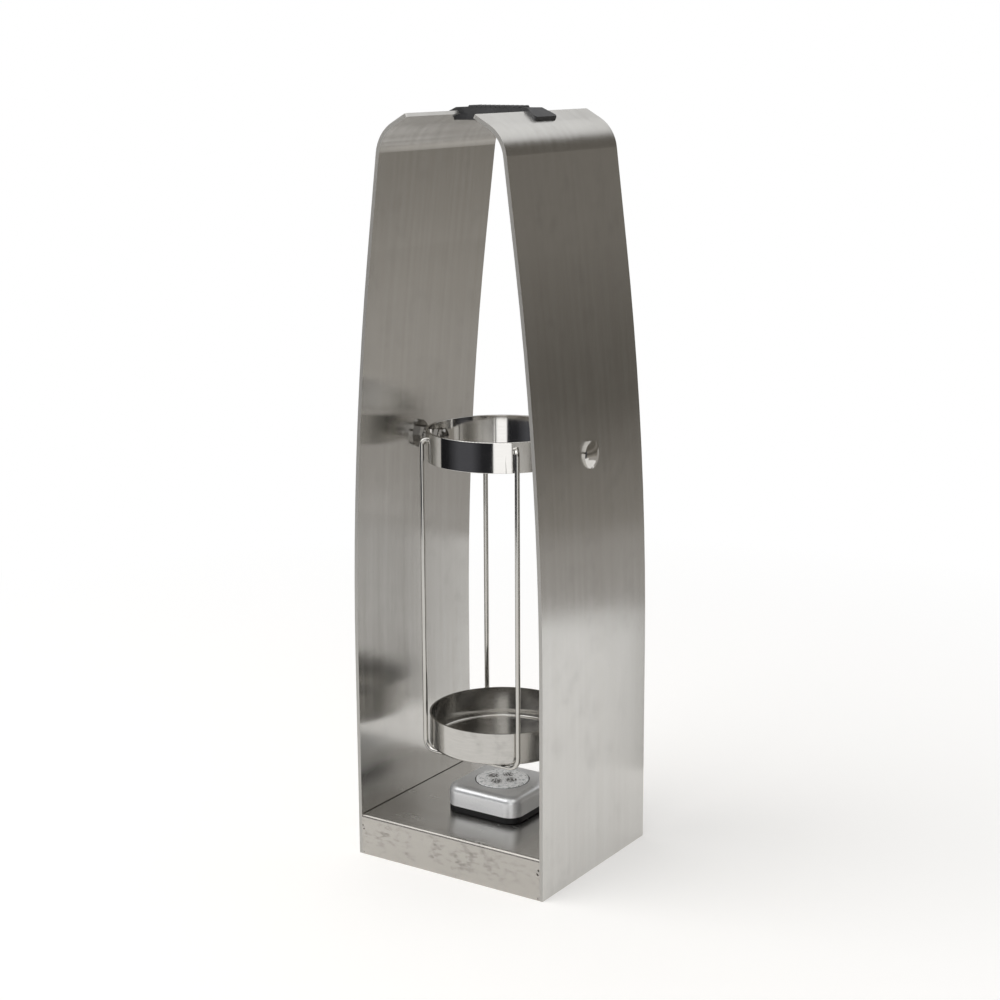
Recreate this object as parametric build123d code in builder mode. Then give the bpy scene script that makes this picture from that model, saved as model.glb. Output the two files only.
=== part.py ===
# Swivel bottle pourer: two bent steel leaves on a folded base, a bottle cradle that swings
# between them, a plastic carrying grip across the crown and a push light on the floor.
# Millimetres. The origin is on the ground under the middle of the base, +X towards the
# right leaf, -Y towards the open front, +Z up.

import os
from math import cos, radians, sin, sqrt

from build123d import *

os.makedirs("parts", exist_ok=True)

# Fits and cuts shared by all pieces
overrun = 5.0
fixed_gap = 0.05
running_gap = 0.05
swing_gap = 0.3

# Leaves: one profile of flat foot, long bow, straight incline, tight crown bend and end tab
base_width = 180.0
base_depth = 159.0
leaf_sheet = 3.0
leaf_corner = 1.5
foot_height = 169.0
bow_radius = 2620.0
bow_angle = 7.26
incline_length = 76.0
crown_radius = 30.0
crown_angle = 53.3
tab_length = 15.0

# Base pan folded from one sheet, open underneath
pan_height = 34.5
pan_sheet = 2.0
pan_bend = 2.6

# Swing axis and the cradle that hangs from it, with free room over the light as it swings
pivot_height = 343.5
swing_room = 24.2
ring_wall = 2.0
ring_height = 24.5
ring_edge = 0.4
cup_wall = 1.5
cup_height = 26.7
cup_corner = 3.0
cup_rim = 13.0
cup_step = 1.5
cup_step_bend = 2.0
wire_radius = 2.0
wire_standoff = 2.1
wire_angle = 45.0
wire_drop = 6.5
wire_top_bend = 3.5
wire_bottom_bend = 9.0

# Pivot hardware, the same on both sides
bolt_radius = 4.0
head_radius = 11.0
head_rim = 1.6
head_dome = 3.0
washer_radius = 11.5
washer_sheet = 1.5
nut_flats = 13.0
nut_height = 6.5
spacer_wall = 2.0
spacer_length = 10.6
bush_wall = 1.45
bush_lip = 2.0
bush_flange = 1.5
cap_wall = 2.0
cap_base = 2.2
cap_dome = 2.6
cap_cover = 1.4

# Carrying grip: ribbed upper moulding, lower bar and the screws between them
grip_width = 16.0
grip_height = 5.2
grip_flare = 32.0
grip_flare_run = 16.6
grip_reach = 13.0
grip_plate = 3.0
grip_corner = 2.0
rib_radius = 1.6
rib_gap = 1.1
rib_margin = 9.0
bar_height = 4.5
bar_reach = 6.0
bar_flare = 25.7
bar_flare_run = 11.0
grip_screw_radius = 1.75
grip_screw_head_radius = 3.2
grip_screw_head = 2.0
grip_screw_sink = 0.3
grip_screw_cover = 1.8
grip_screw_inset = 11.8

# Push light: pad, base tray, housing, lens and the works under the lens
pad_side = 46.0
pad_height = 1.0
light_side = 70.0
light_corner = 12.0
light_wall = 2.0
light_edge = 6.5
tray_inset = 0.3
tray_height = 5.0
tray_floor = 1.5
tray_lip = 2.0
lens_border = 13.3
lens_lip = 3.0
lens_gap = 0.4
lens_rise = 0.4
lens_dome = 0.8
lens_flange = 1.2
lens_stroke = 1.5
board_margin = 5.5
board_room = 2.0
board_sheet = 1.2
post_radius = 2.0
post_gap = 0.8
post_span = 22.0
cell_radius = 5.2
cell_length = 44.0
cell_count = 3
cell_gap = 0.6
cell_room = 0.5
contact_side = 7.0
contact_sheet = 0.5
led_side = 5.0
led_height = 1.5
led_gap = 7.5
led_count = 4
dish_gap = 0.26
dish_flare = 2.2
dish_margin = 1.1
dish_room = 0.3
switch_width = 6.0
switch_depth = 3.5
switch_height = 1.5
plunger_radius = 1.0
spring_outer = 1.6
spring_inner = 1.1
spring_length = 3.7
spring_edge = 0.2
spring_count = 3

half_width = base_width / 2
half_depth = base_depth / 2


def leaf_face(height):
    """Distance from the centre plane to a leaf's outer face at a height in its bow."""
    return half_width - bow_radius + sqrt(bow_radius**2 - (height - foot_height) ** 2)


# Outer face of a leaf as a line, x outwards and y upwards
with BuildLine() as leaf_line:
    foot = Line((half_width, 0), (half_width, foot_height))
    bow = JernArc(foot @ 1, foot % 1, bow_radius, bow_angle)
    incline = PolarLine(bow @ 1, incline_length, direction=bow % 1)
    crown = JernArc(incline @ 1, incline % 1, crown_radius, crown_angle)
    tab = PolarLine(crown @ 1, tab_length, direction=crown % 1)

# The cut end of a leaf: its outer corner, the way along the tab and the way out of the sheet
tab_end = tab @ 1
tab_way = tab % 1
tab_out = Vector(tab_way.Y, -tab_way.X)

# Pivot hardware is placed by its distance from the centre plane, from the leaf inwards to the
# ring, which takes the width that is left between the spacers
spacer_radius = bolt_radius + spacer_wall
bush_radius = bolt_radius + running_gap + bush_wall
bush_flange_radius = bush_radius + bush_lip
cap_flats = (bolt_radius + cap_wall) * 2
head_root = leaf_face(pivot_height + head_radius)
head_shoulder = leaf_face(pivot_height) + head_rim
washer_back = leaf_face(pivot_height - washer_radius) - leaf_sheet
washer_face = leaf_face(pivot_height + washer_radius) - leaf_sheet - washer_sheet
nut_face = washer_face - nut_height
spacer_face = nut_face - spacer_length
bush_face = spacer_face - swing_gap
ring_radius = bush_face - bush_flange
ring_inner = ring_radius - ring_wall
cap_corner = cap_flats / 2 / cos(radians(30))
bush_end = sqrt(ring_inner**2 - cap_corner**2)
cap_face = bush_end - swing_gap
cap_shoulder = cap_face - cap_base
cap_tip = cap_shoulder - cap_dome
bolt_end = cap_tip + cap_cover
pivot_axis = Axis((0, 0, pivot_height), (1, 0, 0))

# Heights in the push light, from the floor of the base pan upwards
light_floor = pan_height + pad_height
tray_seat = light_floor + tray_floor
tray_top = light_floor + tray_height
cell_axis = tray_seat + fixed_gap + cell_radius
board_floor = cell_axis + cell_radius + board_room
board_top = board_floor + board_sheet
flange_floor = board_top + spring_length + fixed_gap
flange_top = flange_floor + lens_flange
cavity_top = flange_top + lens_gap
light_top = cavity_top + light_wall
lens_shoulder = light_top + lens_rise
lens_top = lens_shoulder + lens_dome
plunger_top = flange_floor - lens_stroke - fixed_gap

# The cradle hangs as low as its wires can swing over the light
wire_circle = ring_radius + wire_standoff + wire_radius
wire_x = wire_circle * cos(radians(wire_angle))
wire_y = wire_circle * sin(radians(wire_angle))
swing_reach = pivot_height - lens_top - swing_room
wire_floor = pivot_height - sqrt(swing_reach**2 - (wire_y + wire_radius) ** 2) + wire_radius
cup_floor = wire_floor + wire_radius + fixed_gap
cup_radius = ring_radius
cup_step_radius = cup_radius - cup_rim

# Ring band before drilling, which the bushes are seated on
with BuildPart() as ring_blank:
    with BuildSketch(Plane.XY.offset(pivot_height - ring_height / 2)):
        Circle(ring_radius)
        Circle(ring_inner, mode=Mode.SUBTRACT)
    extrude(amount=ring_height)

for side, sign in (("left", -1), ("right", 1)):
    leaf_plane = Plane((0, 0, 0), x_dir=(sign, 0, 0), z_dir=(0, -sign, 0))
    pivot_plane = Plane((0, 0, pivot_height), x_dir=(sign, 0, 0), z_dir=(0, -sign, 0))
    centre_plane = Plane((0, 0, pivot_height), x_dir=(0, sign, 0), z_dir=(sign, 0, 0))

    # Leaf sheet before drilling, which the bolt head and washer are seated on
    with BuildPart() as leaf_blank:
        with BuildSketch(leaf_plane):
            with BuildLine():
                add(leaf_line.line)
                offset(amount=leaf_sheet, side=Side.LEFT)
            make_face()
        extrude(amount=half_depth, both=True)

    # Leaf: one bolt hole, and softened corners at the cut end
    with BuildPart() as leaf:
        add(leaf_blank.part)
        fillet(leaf.edges().group_by(SortBy.LENGTH)[0].sort_by(Axis.Z)[-2:], leaf_corner)
        with BuildSketch(centre_plane):
            Circle(bolt_radius + fixed_gap)
        extrude(amount=half_width + overrun, mode=Mode.SUBTRACT)
    leaf.part.label = f"{side}_leaf"
    export_step(leaf.part, f"parts/{side}_leaf.step")

    # Cup-head bolt: low dome seated on the bowed leaf, shank as far as the cap nut
    with BuildPart() as bolt:
        with BuildSketch(pivot_plane):
            with BuildLine():
                dome = TangentArc(
                    (head_shoulder + head_dome, 0), (head_shoulder, head_radius), tangent=(0, 1))
                Polyline(dome @ 1, (head_root, head_radius), (head_root, 0), dome @ 0)
            make_face()
        revolve(axis=pivot_axis)
        add(leaf_blank.part, mode=Mode.SUBTRACT)
        with BuildSketch(centre_plane.offset(bolt_end)):
            Circle(bolt_radius)
        extrude(amount=head_shoulder - bolt_end)
    bolt.part.label = f"{side}_pivot_bolt"
    export_step(bolt.part, f"parts/{side}_pivot_bolt.step")

    # Large washer on the leaf's inner face
    with BuildPart() as washer:
        with BuildSketch(centre_plane.offset(washer_face)):
            Circle(washer_radius)
            Circle(bolt_radius + fixed_gap, mode=Mode.SUBTRACT)
        extrude(amount=washer_back - washer_face)
        add(leaf_blank.part, mode=Mode.SUBTRACT)
    washer.part.label = f"{side}_leaf_washer"
    export_step(washer.part, f"parts/{side}_leaf_washer.step")

    # Hexagon nut that clamps the bolt to the leaf
    with BuildPart() as nut:
        with BuildSketch(centre_plane.offset(nut_face)):
            RegularPolygon(nut_flats / 2, side_count=6, major_radius=False)
            Circle(bolt_radius + fixed_gap, mode=Mode.SUBTRACT)
        extrude(amount=nut_height)
    nut.part.label = f"{side}_lock_nut"
    export_step(nut.part, f"parts/{side}_lock_nut.step")

    # Spacer sleeve between the nut and the ring's bush
    with BuildPart() as spacer:
        with BuildSketch(centre_plane.offset(spacer_face)):
            Circle(spacer_radius)
            Circle(bolt_radius + fixed_gap, mode=Mode.SUBTRACT)
        extrude(amount=nut_face - spacer_face)
    spacer.part.label = f"{side}_spacer"
    export_step(spacer.part, f"parts/{side}_spacer.step")

    # Low cap nut on the bolt's end, inside the ring
    with BuildPart() as cap:
        with BuildSketch(centre_plane.offset(cap_shoulder)):
            RegularPolygon(cap_flats / 2, side_count=6, major_radius=False)
        extrude(amount=cap_base)
        with BuildSketch(pivot_plane):
            with BuildLine():
                crest = TangentArc((cap_tip, 0), (cap_shoulder, cap_flats / 2), tangent=(0, 1))
                Polyline(crest @ 1, (cap_shoulder, 0), crest @ 0)
            make_face()
        revolve(axis=pivot_axis)
        with BuildSketch(centre_plane.offset(bolt_end - fixed_gap)):
            Circle(bolt_radius + fixed_gap)
        extrude(amount=cap_face - bolt_end + overrun, mode=Mode.SUBTRACT)
    cap.part.label = f"{side}_cap_nut"
    export_step(cap.part, f"parts/{side}_cap_nut.step")

    # Flanged bush that the ring turns on
    with BuildPart() as bush:
        with BuildSketch(centre_plane.offset(ring_inner)):
            Circle(bush_flange_radius)
        extrude(amount=bush_face - ring_inner)
        add(ring_blank.part, mode=Mode.SUBTRACT)
        with BuildSketch(centre_plane.offset(bush_end)):
            Circle(bush_radius)
        extrude(amount=bush_face - bush_end)
        with BuildSketch(centre_plane):
            Circle(bolt_radius + running_gap)
        extrude(amount=bush_face + overrun, mode=Mode.SUBTRACT)
    bush.part.label = f"{side}_bush"
    export_step(bush.part, f"parts/{side}_bush.step")

# Base pan: floor with a front and a rear apron, welded between the leaves
with BuildPart() as base_pan:
    with BuildSketch(Plane.YZ):
        with BuildLine():
            FilletPolyline(
                (-half_depth, 0), (-half_depth, pan_height), (half_depth, pan_height), (half_depth, 0),
                radius=pan_bend)
            offset(amount=pan_sheet, side=Side.RIGHT)
        make_face()
    extrude(amount=half_width - leaf_sheet, both=True)
base_pan.part.label = "base_pan"
export_step(base_pan.part, "parts/base_pan.step")

# Upper ring of the cradle: rolled band with a hole for each bush
with BuildPart() as cradle_ring:
    add(ring_blank.part)
    fillet(cradle_ring.edges().filter_by(GeomType.CIRCLE), ring_edge)
    with BuildSketch(Plane.YZ):
        with Locations((0, pivot_height)):
            Circle(bush_radius + fixed_gap)
    extrude(amount=ring_radius + overrun, both=True, mode=Mode.SUBTRACT)
cradle_ring.part.label = "cradle_ring"
export_step(cradle_ring.part, "parts/cradle_ring.step")

# Cup under the bottle: pressed pan with a raised floor
with BuildPart() as cradle_cup:
    with BuildSketch(Plane.XZ):
        with BuildLine():
            FilletPolyline(
                (0, cup_floor + cup_step),
                (cup_step_radius, cup_floor + cup_step),
                (cup_step_radius + cup_step, cup_floor),
                (cup_radius, cup_floor),
                (cup_radius, cup_floor + cup_height),
                radius=[cup_step_bend, cup_step_bend, cup_corner])
            offset(amount=cup_wall, side=Side.LEFT)
        make_face()
    revolve(axis=Axis.Z)
cradle_cup.part.label = "cradle_cup"
export_step(cradle_cup.part, "parts/cradle_cup.step")

# Hanger wires: one bent rod in front and one behind, under the cup and in to the ring
tip_x = ring_inner * cos(radians(wire_angle))
tip_y = ring_inner * sin(radians(wire_angle))
wire_top = pivot_height + ring_height / 2 - wire_drop
for name, sign in (("front_wire", -1), ("back_wire", 1)):
    with BuildPart() as wire:
        with BuildLine() as route:
            FilletPolyline(
                (-tip_x, sign * tip_y, wire_top),
                (-wire_x, sign * wire_y, wire_top),
                (-wire_x, sign * wire_y, wire_floor),
                (wire_x, sign * wire_y, wire_floor),
                (wire_x, sign * wire_y, wire_top),
                (tip_x, sign * tip_y, wire_top),
                radius=[wire_top_bend, wire_bottom_bend, wire_bottom_bend, wire_top_bend])
        with BuildSketch(Plane(route.line @ 0, z_dir=route.line % 0)):
            Circle(wire_radius)
        sweep()
        with BuildSketch(Plane.XY.offset(pivot_height - ring_height / 2)):
            Circle(ring_radius + fixed_gap)
        extrude(amount=ring_height, mode=Mode.SUBTRACT)
    wire.part.label = name
    export_step(wire.part, f"parts/{name}.step")

# Grip section in the middle plane, from the leaf's cut end outwards
inner_corner = tab_end - tab_out * leaf_sheet + tab_way * fixed_gap
outer_corner = tab_end + tab_way * fixed_gap
plate_foot = tab_end - tab_way * grip_reach
plate_edge = plate_foot + tab_out * grip_plate
parting = inner_corner.Y
neck_top = parting + grip_height
neck_end = plate_edge + tab_way * ((neck_top - plate_edge.Y) / tab_way.Y)
bar_floor = parting - bar_height
bar_end = inner_corner - tab_way * bar_reach
screw_shoulder = bar_floor + grip_screw_sink + grip_screw_head
grip_screw_bite = grip_height - grip_screw_cover
grip_screw_spacing = (inner_corner.X - grip_screw_inset) * 2
grip_flare_start = plate_edge.X - grip_flare_run
bar_flare_start = bar_end.X - bar_flare_run
rib_pitch = rib_radius * 2 + rib_gap
rib_count = int((neck_end.X - rib_margin) / rib_pitch) * 2 + 1

# Upper grip moulding: ribbed neck with flared plates that lie on the leaf ends
with BuildPart() as grip_top:
    with BuildSketch(Plane.XZ):
        with BuildLine():
            Polyline(
                (0, parting), (inner_corner.X, inner_corner.Y), (outer_corner.X, outer_corner.Y),
                (plate_foot.X, plate_foot.Y), (plate_edge.X, plate_edge.Y), (neck_end.X, neck_top),
                (0, neck_top), close=True)
        make_face()
        mirror(about=Plane.YZ)
    extrude(amount=grip_flare / 2, both=True)
    with BuildSketch(Plane.XY.offset(bar_floor)) as grip_plan:
        with BuildLine():
            Polyline(
                (plate_edge.X, grip_flare / 2), (grip_flare_start, grip_width / 2),
                (-grip_flare_start, grip_width / 2), (-plate_edge.X, grip_flare / 2),
                (-plate_edge.X, -grip_flare / 2), (-grip_flare_start, -grip_width / 2),
                (grip_flare_start, -grip_width / 2), (plate_edge.X, -grip_flare / 2), close=True)
        make_face()
        fillet(grip_plan.vertices(), grip_corner)
    extrude(amount=bar_height + grip_height + overrun, mode=Mode.INTERSECT)
    with BuildSketch(Plane.XZ):
        with Locations((0, neck_top)):
            with GridLocations(rib_pitch, rib_pitch, rib_count, 1):
                Circle(rib_radius)
    extrude(amount=grip_width / 2, both=True)
    with BuildSketch(Plane.XY.offset(parting)):
        with GridLocations(grip_screw_spacing, grip_screw_spacing, 2, 1):
            Circle(grip_screw_radius + fixed_gap)
    extrude(amount=grip_screw_bite + fixed_gap, mode=Mode.SUBTRACT)
grip_top.part.label = "grip_top"
export_step(grip_top.part, "parts/grip_top.step")

# Lower grip bar: closes the grip from below and holds the leaf ends from inside
with BuildPart() as grip_bar:
    with BuildSketch(Plane.XZ):
        with BuildLine():
            Polyline(
                (0, parting), (inner_corner.X, parting), (bar_end.X, bar_end.Y), (bar_end.X, bar_floor),
                (0, bar_floor), close=True)
        make_face()
        mirror(about=Plane.YZ)
    extrude(amount=bar_flare / 2, both=True)
    with BuildSketch(Plane.XY.offset(bar_floor)) as bar_plan:
        with BuildLine():
            Polyline(
                (bar_end.X, bar_flare / 2), (bar_flare_start, grip_width / 2),
                (-bar_flare_start, grip_width / 2), (-bar_end.X, bar_flare / 2),
                (-bar_end.X, -bar_flare / 2), (-bar_flare_start, -grip_width / 2),
                (bar_flare_start, -grip_width / 2), (bar_end.X, -bar_flare / 2), close=True)
        make_face()
        fillet(bar_plan.vertices(), grip_corner)
    extrude(amount=bar_height, mode=Mode.INTERSECT)
    with GridLocations(grip_screw_spacing, grip_screw_spacing, 2, 1):
        with Locations(Plane((0, 0, bar_floor), z_dir=(0, 0, -1))):
            CounterBoreHole(
                grip_screw_radius + fixed_gap, grip_screw_head_radius + fixed_gap,
                screw_shoulder - bar_floor, bar_height)
grip_bar.part.label = "grip_bar"
export_step(grip_bar.part, "parts/grip_bar.step")

# Screws that draw the two grip mouldings together, driven from below
with BuildPart() as grip_screws:
    with BuildSketch(Plane.XY.offset(bar_floor + grip_screw_sink)):
        with GridLocations(grip_screw_spacing, grip_screw_spacing, 2, 1):
            Circle(grip_screw_head_radius)
    extrude(amount=grip_screw_head)
    with BuildSketch(Plane.XY.offset(screw_shoulder)):
        with GridLocations(grip_screw_spacing, grip_screw_spacing, 2, 1):
            Circle(grip_screw_radius)
    extrude(amount=parting - screw_shoulder + grip_screw_bite)
grip_screws.part.label = "grip_screws"
export_step(grip_screws.part, "parts/grip_screws.step")

# Widths in the push light, from the housing inwards
cavity_side = light_side - light_wall * 2
cavity_corner = light_corner - light_wall
tray_side = light_side - tray_inset * 2
lip_side = cavity_side - fixed_gap * 2
well_side = lip_side - light_wall * 2
lens_radius = light_side / 2 - lens_border
lens_flange_radius = lens_radius + lens_lip
spring_place = lens_flange_radius - spring_edge - spring_outer
dish_radius = spring_place - spring_outer - dish_margin
dish_height = spring_length - lens_stroke - dish_room
dish_hole_radius = led_side / sqrt(2) + dish_gap
dish_mouth_radius = dish_hole_radius + dish_flare
switch_place = dish_radius + dish_margin + switch_depth / 2
board_radius = cavity_side / 2 - board_margin
led_place = (led_side + led_gap) / sqrt(2)
cell_pitch = cell_radius * 2 + cell_gap
post_place = cell_pitch * (cell_count - 1) / 2 + cell_radius + post_gap + post_radius

# Foam pad that sticks the light to the floor
with BuildPart() as adhesive_pad:
    with BuildSketch(Plane.XY.offset(pan_height)):
        Rectangle(pad_side, pad_side)
    extrude(amount=pad_height)
adhesive_pad.part.label = "adhesive_pad"
export_step(adhesive_pad.part, "parts/adhesive_pad.step")

# Base tray with a lip for the housing and posts for the circuit board
with BuildPart() as light_base:
    with BuildSketch(Plane.XY.offset(light_floor)):
        RectangleRounded(tray_side, tray_side, light_corner - tray_inset)
    extrude(amount=tray_height)
    with BuildSketch(Plane.XY.offset(tray_top)):
        RectangleRounded(lip_side, lip_side, cavity_corner)
    extrude(amount=tray_lip)
    with BuildSketch(Plane.XY.offset(tray_seat)):
        RectangleRounded(well_side, well_side, cavity_corner - light_wall)
    extrude(amount=tray_height + tray_lip, mode=Mode.SUBTRACT)
    with BuildSketch(Plane.XY.offset(light_floor)):
        with GridLocations(post_span, post_place * 2, 2, 2):
            Circle(post_radius)
    extrude(amount=board_floor - light_floor)
light_base.part.label = "light_base"
export_step(light_base.part, "parts/light_base.step")

# Cells lying side by side in the tray
with BuildPart() as cells:
    with BuildSketch(Plane.YZ.offset(-cell_length / 2)):
        with Locations((0, cell_axis)):
            with GridLocations(cell_pitch, cell_pitch, cell_count, 1):
                Circle(cell_radius)
    extrude(amount=cell_length)
cells.part.label = "cells"
export_step(cells.part, "parts/cells.step")

# Contact plates at both ends of each cell
with BuildPart() as cell_contacts:
    with BuildSketch(Plane.XY.offset(tray_seat)):
        with GridLocations(cell_length + contact_sheet + cell_room, cell_pitch, 2, cell_count):
            Rectangle(contact_sheet, contact_side)
    extrude(amount=cell_radius * 2)
cell_contacts.part.label = "cell_contacts"
export_step(cell_contacts.part, "parts/cell_contacts.step")

# Round circuit board on the posts
with BuildPart() as circuit_board:
    with BuildSketch(Plane.XY.offset(board_floor)):
        Circle(board_radius)
    extrude(amount=board_sheet)
circuit_board.part.label = "circuit_board"
export_step(circuit_board.part, "parts/circuit_board.step")

# Light diodes in a square on the board, set cornerwise to the housing
with BuildPart() as leds:
    with BuildSketch(Plane.XY.offset(board_top)):
        with PolarLocations(led_place, led_count):
            Rectangle(led_side, led_side)
    extrude(amount=led_height)
leds.part.label = "leds"
export_step(leds.part, "parts/leds.step")

# Reflector dish with a cone round each diode
with BuildPart() as light_dish:
    with BuildSketch(Plane.XY.offset(board_top)):
        Circle(dish_radius)
    extrude(amount=dish_height)
    with Locations((0, 0, board_top + dish_height / 2)):
        with PolarLocations(led_place, led_count):
            Cone(dish_hole_radius, dish_mouth_radius, dish_height, mode=Mode.SUBTRACT)
light_dish.part.label = "light_dish"
export_step(light_dish.part, "parts/light_dish.step")

# Switch under the lens flange
with BuildPart() as push_switch:
    with BuildSketch(Plane.XY.offset(board_top)):
        with Locations((0, switch_place)):
            Rectangle(switch_width, switch_depth)
    extrude(amount=switch_height)
    with BuildSketch(Plane.XY.offset(board_top)):
        with Locations((0, switch_place)):
            Circle(plunger_radius)
    extrude(amount=plunger_top - board_top)
push_switch.part.label = "push_switch"
export_step(push_switch.part, "parts/push_switch.step")

# Return springs between the board and the lens flange
with BuildPart() as lens_springs:
    with BuildSketch(Plane.XY.offset(board_top)):
        with PolarLocations(spring_place, spring_count, start_angle=-90):
            Circle(spring_outer)
            Circle(spring_inner, mode=Mode.SUBTRACT)
    extrude(amount=flange_floor - board_top - fixed_gap)
lens_springs.part.label = "lens_springs"
export_step(lens_springs.part, "parts/lens_springs.step")

# Push lens: clear disc, slightly domed, kept in by a flange under the housing's top
with BuildPart() as light_lens:
    with BuildSketch(Plane.XZ):
        with BuildLine():
            lens_arc = TangentArc(
                (0, lens_top), (lens_radius, lens_shoulder), tangent=(1, 0))
            Polyline(
                lens_arc @ 1, (lens_radius, flange_top), (lens_flange_radius, flange_top),
                (lens_flange_radius, flange_floor), (0, flange_floor), lens_arc @ 0)
        make_face()
    revolve(axis=Axis.Z)
light_lens.part.label = "light_lens"
export_step(light_lens.part, "parts/light_lens.step")

# Housing: soft-edged square shell with a round window
with BuildPart() as light_housing:
    with BuildSketch(Plane.XY.offset(tray_top)):
        RectangleRounded(light_side, light_side, light_corner)
    extrude(amount=light_top - tray_top)
    fillet(light_housing.faces().sort_by(Axis.Z)[-1].edges(), light_edge)
    with BuildSketch(Plane.XY.offset(tray_top)):
        RectangleRounded(cavity_side, cavity_side, cavity_corner)
    extrude(amount=cavity_top - tray_top, mode=Mode.SUBTRACT)
    fillet(light_housing.edges().filter_by_position(Axis.Z, cavity_top, cavity_top), light_edge - light_wall)
    with BuildSketch(Plane.XY.offset(tray_top)):
        Circle(lens_radius + lens_gap)
    extrude(amount=light_top - tray_top + overrun, mode=Mode.SUBTRACT)
light_housing.part.label = "light_housing"
export_step(light_housing.part, "parts/light_housing.step")
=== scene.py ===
import math
import bpy
from mathutils import Matrix, Vector, noise


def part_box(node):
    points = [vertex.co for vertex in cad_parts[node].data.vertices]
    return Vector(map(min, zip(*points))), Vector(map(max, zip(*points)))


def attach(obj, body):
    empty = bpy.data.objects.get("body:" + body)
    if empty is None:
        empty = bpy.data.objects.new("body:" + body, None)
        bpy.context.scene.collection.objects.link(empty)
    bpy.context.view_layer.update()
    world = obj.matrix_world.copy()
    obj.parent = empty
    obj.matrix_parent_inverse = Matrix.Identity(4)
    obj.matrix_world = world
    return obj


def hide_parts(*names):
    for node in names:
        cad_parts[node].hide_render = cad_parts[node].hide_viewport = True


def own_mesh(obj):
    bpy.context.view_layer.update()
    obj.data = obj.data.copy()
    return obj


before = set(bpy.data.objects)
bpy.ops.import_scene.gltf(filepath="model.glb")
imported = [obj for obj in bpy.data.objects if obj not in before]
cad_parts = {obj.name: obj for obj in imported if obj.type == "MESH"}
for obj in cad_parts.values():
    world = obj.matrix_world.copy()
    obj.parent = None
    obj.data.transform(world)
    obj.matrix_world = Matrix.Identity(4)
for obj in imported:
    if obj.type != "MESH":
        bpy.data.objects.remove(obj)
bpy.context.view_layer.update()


# Base pan: one stainless sheet folded down at the front and the back and left open below.
# It was brushed along its folds, so reflections smear across the lines, and handling has left
# cloudy smears and small grey marks on the apron. The apron's face, and its upper fold more so, are drawn darker
# than the floor: painted shade that dims their reflections.
MM = 0.001


def linear(code):
    """An sRGB hex colour as linear red, green and blue, with a full alpha."""
    shares = [int(code[i:i + 2], 16) / 255 for i in (1, 3, 5)]
    return [c / 12.92 if c <= 0.04045 else ((c + 0.055) / 1.055) ** 2.4 for c in shares] + [1.0]


def add(tree, kind, feeds=None, **settings):
    """Adds one shader node, sets it, and fills its inputs with values or with other outputs."""
    made = tree.nodes.new("ShaderNode" + kind)
    for name, value in settings.items():
        setattr(made, name, value)
    for diode_image_mask, value in (feeds or {}).items():
        if isinstance(value, bpy.types.NodeSocket):
            tree.links.new(value, made.inputs[diode_image_mask])
        else:
            made.inputs[diode_image_mask].default_value = value
    return made


def begin(name, **sockets):
    """A new material, with its node tree, its shader and the piece's own coordinates in metres."""
    material = bpy.data.materials.new(name)
    material.use_nodes = True
    tree = material.node_tree
    shader = tree.nodes["Principled BSDF"]
    for diode_image_mask, value in sockets.items():
        shader.inputs[diode_image_mask.replace("_", " ")].default_value = value
    return material, tree, shader, add(tree, "TexCoord").outputs["Object"]


def dress(material, *names):
    """Gives carried-over nodes a finish of their own."""
    for name in names:
        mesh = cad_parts[name].data
        mesh.materials.clear()
        mesh.materials.append(material)


def steel(name, dark, light, grain, rough, spread=0.0, along=None, smear=0.05, marks=0.0, mark_size=9):
    """Steel with a directional finish. grain is the length of its lines in mm along X, Y and Z. spread is how
    far reflections smear across the lines, which run along a direction or else round Z. smear is how far cloudy
    patches change the roughness. marks is how dark grey marks of mark_size mm are."""
    cloud_size = 38 * MM
    mark_grey = "#524c45"
    material, tree, shader, place = begin(name, Metallic=1.0, Anisotropic=spread)
    stretched = add(tree, "Mapping", {"Vector": place, "Scale": [1 / (g * MM) for g in grain]})
    lines = add(tree, "TexNoise", {"Vector": stretched.outputs[0], "Scale": 1.0, "Detail": 1.0, "Roughness": 0.5})
    cloud = add(tree, "TexNoise", {"Vector": place, "Scale": 1 / cloud_size, "Detail": 4.0, "Roughness": 0.62})
    spots = add(tree, "TexNoise", {"Vector": place, "Scale": 1 / (mark_size * MM), "Detail": 3.0,
                                   "Roughness": 0.55}, name="spots")
    tone = add(tree, "Mix", {0: lines.outputs[0], 6: linear(dark), 7: linear(light)}, data_type="RGBA")
    spotted = add(tree, "MapRange", {0: spots.outputs[0], 1: 0.48, 2: 0.68, 3: 0.0, 4: marks})
    patch = add(tree, "MapRange", {0: cloud.outputs[0], 1: 0.42, 2: 0.62, 3: 0.0, 4: 1.0})
    soil = add(tree, "Math", {0: spotted.outputs[0], 1: patch.outputs[0]}, operation="MULTIPLY", name="soil")
    grey = add(tree, "Mix", {0: soil.outputs[0], 6: tone.outputs[2], 7: linear(mark_grey)},
               data_type="RGBA", name="tone")
    tree.links.new(grey.outputs[2], shader.inputs["Base Color"])
    fine = add(tree, "MapRange", {0: lines.outputs[0], 1: 0.3, 2: 0.7, 3: rough * 0.95, 4: rough * 1.05})
    cloudy = add(tree, "MapRange", {0: cloud.outputs[0], 1: 0.35, 2: 0.65, 3: -smear, 4: smear})
    total = add(tree, "Math", {0: fine.outputs[0], 1: cloudy.outputs[0]}, operation="ADD", name="roughness")
    tree.links.new(total.outputs[0], shader.inputs["Roughness"])
    relief = add(tree, "Bump", {"Height": lines.outputs[0], "Strength": 0.04, "Distance": 0.02 * MM})
    tree.links.new(relief.outputs[0], shader.inputs["Normal"])
    if spread:
        if along:
            facing = add(tree, "NewGeometry").outputs["Normal"]
            way = add(tree, "VectorMath", {0: facing, 1: along}, operation="CROSS_PRODUCT")
        else:
            way = add(tree, "Tangent", direction_type="RADIAL", axis="Z")
        tree.links.new(way.outputs[0], shader.inputs["Tangent"])
    return material


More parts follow.
